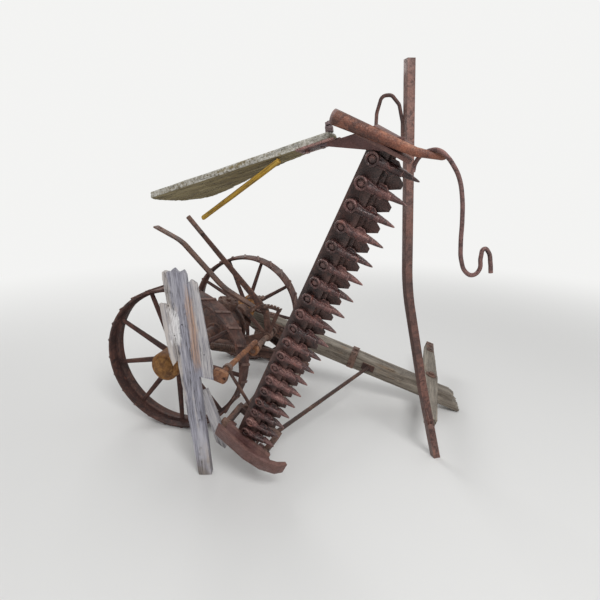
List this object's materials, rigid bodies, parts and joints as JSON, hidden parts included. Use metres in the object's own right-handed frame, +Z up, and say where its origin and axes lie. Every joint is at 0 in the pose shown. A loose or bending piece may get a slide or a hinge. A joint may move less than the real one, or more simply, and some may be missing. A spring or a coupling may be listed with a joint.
{
  "type": "sickle bar mower",
  "caption": "Horse-drawn two-wheeled mower with its toothed cutter bar folded up, short broken tongue, levers and bare seat spring.",
  "frame": {"origin": "on the ground under the centre of the whole machine's box", "axes": "+X forward towards the team, +Y the machine's left, +Z up"},
  "size_m": [2.0638, 2.1314, 1.8873],
  "materials": {
    "rusty_cast": "rusted cast iron, dark brown",
    "bar_rust": "dark purple-brown rust",
    "knife_steel": "dull dark rusted steel",
    "shoe_rust": "red-orange rust",
    "wheel_rust": "maroon-brown rust",
    "hub_rust": "ochre rust",
    "stay_rust": "brown rust",
    "orange_rust": "orange rust",
    "grey_timber": "weathered silver-grey wood",
    "board_wood": "lichen-grey board",
    "stick_wood": "yellow ochre wood",
    "pole_wood": "weathered brown-grey wood"
  },
  "bodies": {
    "frame": {"axle": "rusty_cast", "gear_case": "rusty_cast", "gear_case_lid": "rusty_cast", "axle_tubes": "rusty_cast", "frame_arm_right": "rusty_cast", "frame_arm_left": "rusty_cast", "crank_case": "rusty_cast", "crankshaft": "rusty_cast", "flywheel": "rusty_cast", "pitman": "pole_wood", "pitman_irons": "rusty_cast", "hinge_yoke": "rusty_cast", "hinge_pins": "rusty_cast", "drag_bar": "rusty_cast", "draft_rod": "rusty_cast", "lift_shaft": "rusty_cast", "tongue_bearing": "rusty_cast", "quadrant": "rusty_cast", "hand_lever": "rusty_cast", "foot_lever": "rusty_cast", "lift_arm": "orange_rust", "lift_link": "rusty_cast", "lift_spring": "rusty_cast", "seat_spring": "rusty_cast", "tongue": "pole_wood", "evener": "pole_wood", "tongue_irons": "rusty_cast", "evener_irons": "rusty_cast", "stay_bar": "stay_rust", "stay_bolt": "stay_rust", "arch_rod": "stay_rust", "timber_main": "grey_timber", "timber_boards": "grey_timber"},
    "right_wheel": {"wheel_right": "wheel_rust", "hub_cap_right": "hub_rust"},
    "left_wheel": {"wheel_left": "wheel_rust", "hub_cap_left": "hub_rust"},
    "bar": {"cutter_bar": "bar_rust", "guards": "bar_rust", "guard_bolts": "bar_rust", "knife_back": "knife_steel", "knife_sections": "knife_steel", "hold_down_clips": "bar_rust", "inner_shoe": "shoe_rust", "outer_shoe": "shoe_rust", "swath_board": "board_wood", "board_bracket": "shoe_rust", "spring_bolt": "shoe_rust", "grass_stick": "stick_wood", "hook_rod": "orange_rust"}
  },
  "joints": [
    {"name": "wheel_right_spin", "type": "hinge", "parent": "frame", "child": "right_wheel", "pos_m": [-0.5751, -0.17234, 0.417], "axis": [0, 1, 0], "continuous": true},
    {"name": "wheel_left_spin", "type": "hinge", "parent": "frame", "child": "left_wheel", "pos_m": [-0.5751, 0.89766, 0.417], "axis": [0, 1, 0], "continuous": true},
    {"name": "bar_fold", "type": "hinge", "parent": "frame", "child": "bar", "pos_m": [-0.02703, -0.53034, 0.20422], "axis": [-0.8686, 0.1461, 0.4736], "range_deg": [-67, 12]}
  ]
}
